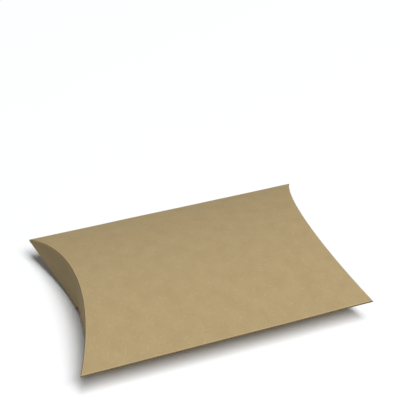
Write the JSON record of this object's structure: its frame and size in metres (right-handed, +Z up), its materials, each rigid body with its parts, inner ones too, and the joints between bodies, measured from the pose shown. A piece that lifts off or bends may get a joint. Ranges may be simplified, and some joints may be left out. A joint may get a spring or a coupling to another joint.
{
  "type": "pillow box",
  "caption": "Curved carton of folded kraft board, pointed at its corners, with a glued seam and dished end walls of overlapping tuck flaps that hinge open.",
  "frame": {"origin": "on the table, at the middle of the line along which the curved lower panel rests", "axes": "+X along the long folds from the left end to the right end, +Y across the box towards the glued seam at the rear, +Z up"},
  "size_m": [0.1616, 0.1086, 0.028],
  "materials": {
    "kraft_board": "matte uncoated kraft with fine fibres",
    "dried_glue": "dried white glue, slightly satin"
  },
  "bodies": {
    "root": {"top_panel": "kraft_board", "bottom_panel": "kraft_board", "front_fold": "kraft_board", "seam_fold": "kraft_board", "glue_flap": "kraft_board", "glue_line": "dried_glue"},
    "left_outer_flap": {"left_outer_flap": "kraft_board"},
    "left_inner_flap": {"left_inner_flap": "kraft_board"},
    "right_outer_flap": {"right_outer_flap": "kraft_board"},
    "right_inner_flap": {"right_inner_flap": "kraft_board"}
  },
  "joints": [
    {"name": "left_outer_flap_hinge", "type": "hinge", "parent": "root", "child": "left_outer_flap", "pos_m": [-0.067, 0, 0.028], "axis": [0, 1, 0], "range_deg": [0, 90]},
    {"name": "left_inner_flap_hinge", "type": "hinge", "parent": "root", "child": "left_inner_flap", "pos_m": [-0.06595, 0, 0], "axis": [0, -1, 0], "range_deg": [0, 90]},
    {"name": "right_outer_flap_hinge", "type": "hinge", "parent": "root", "child": "right_outer_flap", "pos_m": [0.067, 0, 0.028], "axis": [0, -1, 0], "range_deg": [0, 90]},
    {"name": "right_inner_flap_hinge", "type": "hinge", "parent": "root", "child": "right_inner_flap", "pos_m": [0.06595, 0, 0], "axis": [0, 1, 0], "range_deg": [0, 90]}
  ],
  "couplings": [
    {"joint": "left_inner_flap_hinge", "follows": "left_outer_flap_hinge", "ratio": 0.06},
    {"joint": "right_inner_flap_hinge", "follows": "right_outer_flap_hinge", "ratio": 0.06}
  ]
}
